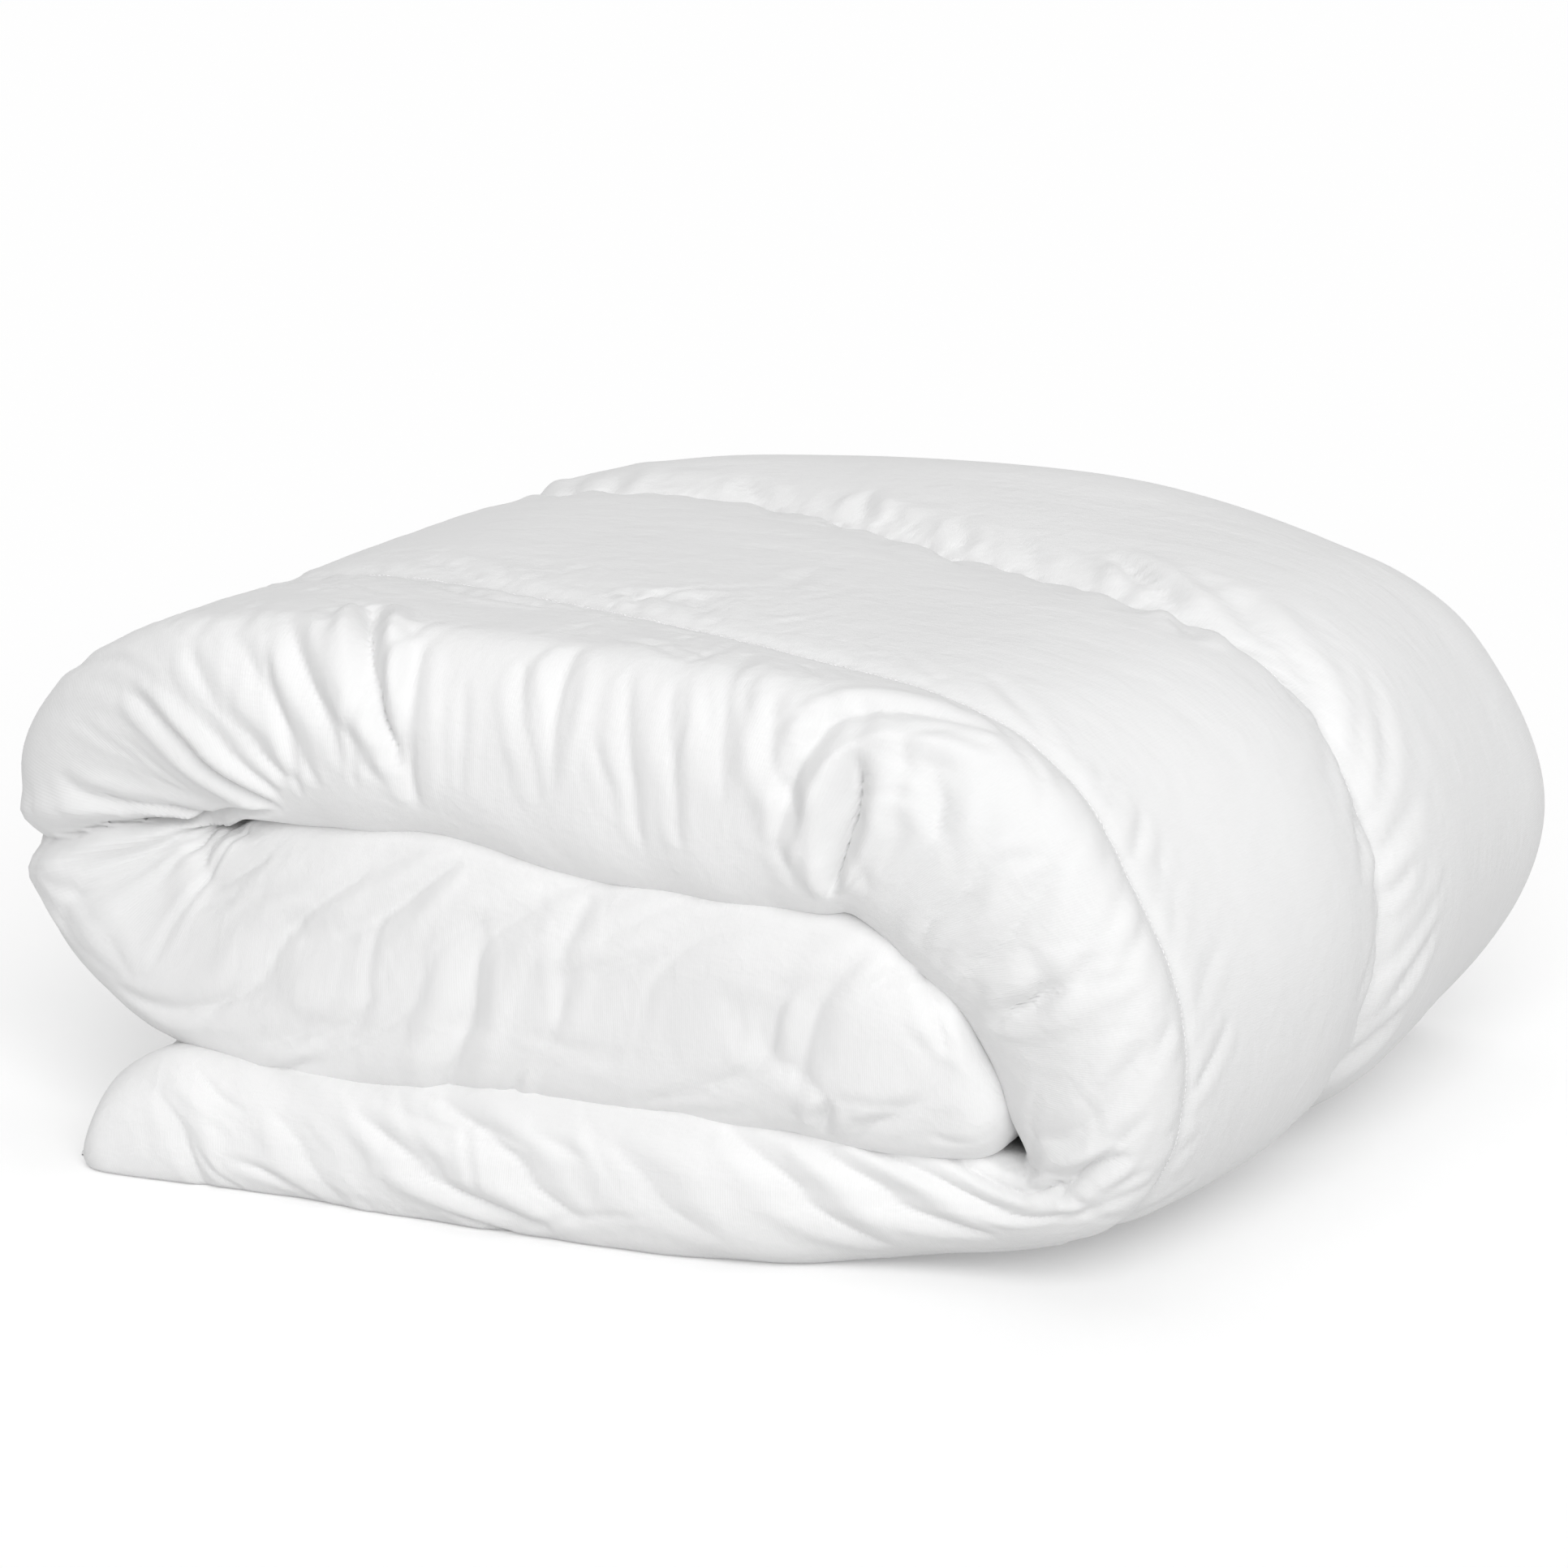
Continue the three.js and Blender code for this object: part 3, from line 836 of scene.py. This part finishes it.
def hem_lines(layer, outer, inner, first, last):
    """The edges of a piece that are hemmed: points, the way the hem stands out, and the way it faces."""
    lines = []
    for column, step in ((0, 1), (-1, -2)):
        points = outer[first:last + 1, column]
        away = unit(points - (outer[first:last + 1, step] + inner[first:last + 1, step]) / 2)
        lines.append((points, away))
    for row, step, here in ((0, 1, first == 0), (-1, -2, last == layer.rows - 1)):
        if here:
            points = outer[row]
            lines.append((points, unit(points - (outer[step] + inner[step]) / 2)))
    lines = [(p, evened(away)) for p, away in lines]
    return [(p, away, evened(np.cross(np.gradient(p, axis=0), away))) for p, away in lines]


class DUVET_OT_hems(bpy.types.Operator):
    """Make the hem tape along the long edges and the two ends"""

    bl_idname = "duvet.hems"
    bl_label = "Hems"

    def execute(self, context):
        layer, outer, inner = shaped(context)
        sizes = context.scene.duvet_trim
        material = finishes(context.scene.duvet_look)[1]
        for piece, (first, last) in zip(PIECES, piece_rows(layer)):
            verts, faces = [], []
            for points, away, facing in hem_lines(layer, outer, inner, first, last):
                strip, quads = tape(points, away, facing, sizes.hem_width, sizes.hem_thick)
                faces += [[v + len(verts) for v in quad] for quad in quads]
                verts += [tuple(v) for v in strip]
            obj = plain_mesh(piece[0] + "_hems", verts, faces, material)
            tie(obj, piece)
            mine = [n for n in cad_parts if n.startswith("edge_hem_" + piece[1])]
            mine += [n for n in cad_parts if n.startswith("end_hem")
                     and (n.endswith("start") and first == 0 or n.endswith("finish") and piece[2] is None)]
            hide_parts(*mine)
        return {"FINISHED"}


def above_floor(point, rise=ABOVE_FLOOR * MM):
    """A point, lifted clear of the floor where it lies under it."""
    return (point[0], point[1], max(point[2], rise))


def plain_mesh(name, verts, faces, material):
    """A smooth closed piece from points and faces."""
    mesh = bpy.data.meshes.new(name)
    mesh.from_pydata([above_floor(v) for v in verts], [], faces)
    mesh.update()
    shape = bmesh.new()
    shape.from_mesh(mesh)
    bmesh.ops.recalc_face_normals(shape, faces=shape.faces)
    shape.to_mesh(mesh)
    shape.free()
    mesh.polygons.foreach_set("use_smooth", np.ones(len(mesh.polygons), bool))
    mesh.materials.append(material)
    return add(name, mesh)


def stitch_tree(material):
    """Geometry nodes: stitches of thread, laid end to end along the edges of a guide."""
    tree = bpy.data.node_groups.new("Stitches", "GeometryNodeTree")
    socket = tree.interface.new_socket
    socket("Geometry", in_out="INPUT", socket_type="NodeSocketGeometry")
    for name, default in (("Spacing", 0.0035), ("Length", 0.003), ("Thickness", 0.0007)):
        item = socket(name, in_out="INPUT", socket_type="NodeSocketFloat")
        item.default_value = default
        item.subtype = "DISTANCE"
    socket("Geometry", in_out="OUTPUT", socket_type="NodeSocketGeometry")
    nodes, link = tree.nodes, tree.links.new
    start, finish = nodes.new("NodeGroupInput"), nodes.new("NodeGroupOutput")
    curve = nodes.new("GeometryNodeMeshToCurve")
    link(start.outputs["Geometry"], curve.inputs["Mesh"])
    points = nodes.new("GeometryNodeCurveToPoints")
    points.mode = "LENGTH"
    link(curve.outputs["Curve"], points.inputs["Curve"])
    link(start.outputs["Spacing"], points.inputs["Length"])
    bead = nodes.new("GeometryNodeMeshIcoSphere")
    bead.inputs["Radius"].default_value = 0.5
    bead.inputs["Subdivisions"].default_value = 1
    size = nodes.new("ShaderNodeCombineXYZ")
    link(start.outputs["Thickness"], size.inputs["X"])
    link(start.outputs["Thickness"], size.inputs["Y"])
    link(start.outputs["Length"], size.inputs["Z"])
    place = nodes.new("GeometryNodeInstanceOnPoints")
    link(points.outputs["Points"], place.inputs["Points"])
    link(bead.outputs["Mesh"], place.inputs["Instance"])
    link(points.outputs["Rotation"], place.inputs["Rotation"])
    link(size.outputs["Vector"], place.inputs["Scale"])
    real = nodes.new("GeometryNodeRealizeInstances")
    link(place.outputs["Instances"], real.inputs["Geometry"])
    colour = nodes.new("GeometryNodeSetMaterial")
    colour.inputs["Material"].default_value = material
    link(real.outputs["Geometry"], colour.inputs["Geometry"])
    link(colour.outputs["Geometry"], finish.inputs["Geometry"])
    return tree


def seam_lines(layer, outer, first, last, rise):
    """Points along the four rows of stitching of a piece, just clear of the fabric."""
    out = normals(outer)
    middle = outer[:, layer.columns // 2].mean(0)
    out *= np.sign(((outer - middle) * out).sum(2).mean())
    lines = []
    for row in stitching(layer):
        for side in (-1, 1):
            where = row[:, 0 if side < 0 else -1]
            line = []
            for k in range(first, last + 1):
                j = np.clip(np.searchsorted(layer.w, where[k]) - 1, 0, layer.columns - 2)
                t = (where[k] - layer.w[j]) / (layer.w[j + 1] - layer.w[j])
                line.append(outer[k, j] * (1 - t) + outer[k, j + 1] * t + out[k, j] * rise)
            lines.append(np.array(line))
    return lines


class DUVET_OT_stitches(bpy.types.Operator):
    """Sew the rows of stitching that part the channels, and the hems"""

    bl_idname = "duvet.stitches"
    bl_label = "Stitches"

    def execute(self, context):
        layer, outer, inner = shaped(context)
        sizes = context.scene.duvet_trim
        material = finishes(context.scene.duvet_look)[2]
        tree = stitch_tree(material)
        for piece, (first, last) in zip(PIECES, piece_rows(layer)):
            lines = seam_lines(layer, outer, first, last, sizes.thread * 0.3)
            for points, away, facing in hem_lines(layer, outer, inner, first, last):
                for side in (-1, 1):
                    lines.append(points + away * sizes.hem_width * 0.5
                                 + facing * side * sizes.hem_thick * 0.55)
            verts, edges = [], []
            for line in lines:
                edges += [(len(verts) + k, len(verts) + k + 1) for k in range(len(line) - 1)]
                verts += [above_floor(v, sizes.thread) for v in line]
            guide = bpy.data.meshes.new("guide")
            guide.from_pydata(verts, edges, [])
            sewn = add("sewn", guide)
            modifier = sewn.modifiers.new("Stitches", "NODES")
            modifier.node_group = tree
            values = {"Spacing": sizes.stitch * 1.15, "Length": sizes.stitch, "Thickness": sizes.thread}
            for item in tree.interface.items_tree:
                if item.in_out == "INPUT" and item.name in values:
                    modifier[item.identifier] = values[item.name]
            context.view_layer.update()
            sewn_now = sewn.evaluated_get(context.evaluated_depsgraph_get())
            mesh = bpy.data.meshes.new_from_object(sewn_now)
            mesh.name = piece[0] + "_stitches"
            bpy.data.objects.remove(sewn)
            bpy.data.meshes.remove(guide)
            if not mesh.materials:
                mesh.materials.append(material)
            obj = add(mesh.name, mesh)
            tie(obj, piece)
        return {"FINISHED"}


# Suns: name, turn from the camera and height in degrees, strength, and spread in degrees.
SUNS = (("key", 8, 34, 2.0, 44), ("top", 180, 78, 0.6, 60))
FLOOR_TONE = 0.8
FLOOR_GLOW = 0.27  # seen by the camera only
SKY_LIGHT = 0.36
FLOOR_HALF = 30  # m


class DUVET_OT_stage(bpy.types.Operator):
    """Make the floor, the lights and the camera"""

    bl_idname = "duvet.stage"
    bl_label = "Stage"

    def execute(self, context):
        scene = context.scene
        stage = scene.duvet_stage
        scene.view_settings.view_transform = "Standard"
        mesh = bpy.data.meshes.new("floor")
        far = FLOOR_HALF
        mesh.from_pydata([(-far, -far, 0), (far, -far, 0), (far, far, 0), (-far, far, 0)], [], [(0, 1, 2, 3)])
        mesh.materials.append(pale_floor())
        add("floor", mesh)
        scene.world = studio_world()
        for name, turn, height, strength, spread in SUNS:
            sun(name, stage.azimuth + math.radians(turn), math.radians(height), strength, spread)
        aim = np.array(stage.aim)
        a, e = stage.azimuth, stage.elevation
        back = np.array([math.sin(a) * math.cos(e), -math.cos(a) * math.cos(e), math.sin(e)])
        data = bpy.data.cameras.new("camera")
        data.lens = stage.lens
        data.sensor_width = 36
        camera = add("camera", data)
        camera.location = aim + back * stage.distance
        camera.rotation_mode = "QUATERNION"
        look = camera.location - type(camera.location)(aim)
        camera.rotation_quaternion = look.to_track_quat("Z", "Y")
        scene.camera = camera
        return {"FINISHED"}


def pale_floor():
    """Matt floor that looks near white but throws only a little light back up."""
    material = bpy.data.materials.new("Pale floor")
    material.use_nodes = True
    tree = material.node_tree
    shader = tree.nodes["Principled BSDF"]
    shader.inputs["Base Color"].default_value = (FLOOR_TONE, FLOOR_TONE, FLOOR_TONE, 1)
    shader.inputs["Roughness"].default_value = 1.0
    shader.inputs["Specular IOR Level"].default_value = 0.0
    shader.inputs["Emission Color"].default_value = (1, 1, 1, 1)
    glow = tree.nodes.new("ShaderNodeMath")
    glow.operation = "MULTIPLY"
    glow.inputs[1].default_value = FLOOR_GLOW
    path = tree.nodes.new("ShaderNodeLightPath")
    tree.links.new(path.outputs["Is Camera Ray"], glow.inputs[0])
    tree.links.new(glow.outputs["Value"], shader.inputs["Emission Strength"])
    return material


def studio_world():
    """Soft even light, and a brighter backdrop behind the bundle."""
    world = bpy.data.worlds.new("Studio")
    world.use_nodes = True
    tree = world.node_tree
    soft, backdrop = tree.nodes["Background"], tree.nodes.new("ShaderNodeBackground")
    for node, strength in ((soft, SKY_LIGHT), (backdrop, 1.0)):
        node.inputs["Strength"].default_value = strength
        node.inputs["Color"].default_value = (1, 1, 1, 1)
    path = tree.nodes.new("ShaderNodeLightPath")
    mix = tree.nodes.new("ShaderNodeMixShader")
    tree.links.new(path.outputs["Is Camera Ray"], mix.inputs["Fac"])
    tree.links.new(soft.outputs["Background"], mix.inputs[1])
    tree.links.new(backdrop.outputs["Background"], mix.inputs[2])
    tree.links.new(mix.outputs["Shader"], tree.nodes["World Output"].inputs["Surface"])
    return world


def sun(name, azimuth, height, strength, spread):
    """A wide soft light, from a turn to the right of the front and a height above the horizon."""
    data = bpy.data.lights.new(name, "SUN")
    data.energy = strength
    data.angle = math.radians(spread)
    add(name, data).rotation_euler = (math.pi / 2 - height, 0, azimuth)


GROUPS = {"duvet_sizes": DuvetSizes, "duvet_look": FabricLook,
          "duvet_trim": TrimSizes, "duvet_stage": StageSizes}
OPERATORS = (DUVET_OT_fabric, DUVET_OT_hems, DUVET_OT_stitches, DUVET_OT_stage)


class DUVET_PT_panel(bpy.types.Panel):
    """Every size and look, and the buttons that make the pieces"""

    bl_label = "Duvet"
    bl_space_type = "VIEW_3D"
    bl_region_type = "UI"
    bl_category = "Duvet"

    def draw(self, context):
        column = self.layout.column()
        for name, group in GROUPS.items():
            for value in group.__annotations__:
                column.prop(getattr(context.scene, name), value)
        for operator in OPERATORS:
            column.operator(operator.bl_idname)


CLASSES = (*GROUPS.values(), *OPERATORS, DUVET_PT_panel)


def register():
    for cls in CLASSES:
        bpy.utils.register_class(cls)
    for name, group in GROUPS.items():
        setattr(bpy.types.Scene, name, PointerProperty(type=group))


def unregister():
    for name in reversed(GROUPS):
        delattr(bpy.types.Scene, name)
    for cls in reversed(CLASSES):
        bpy.utils.unregister_class(cls)


def main():
    register()
    bpy.ops.duvet.stage()
    bpy.ops.duvet.fabric()
    bpy.ops.duvet.hems()
    bpy.ops.duvet.stitches()


if __name__ == "__main__":
    main()
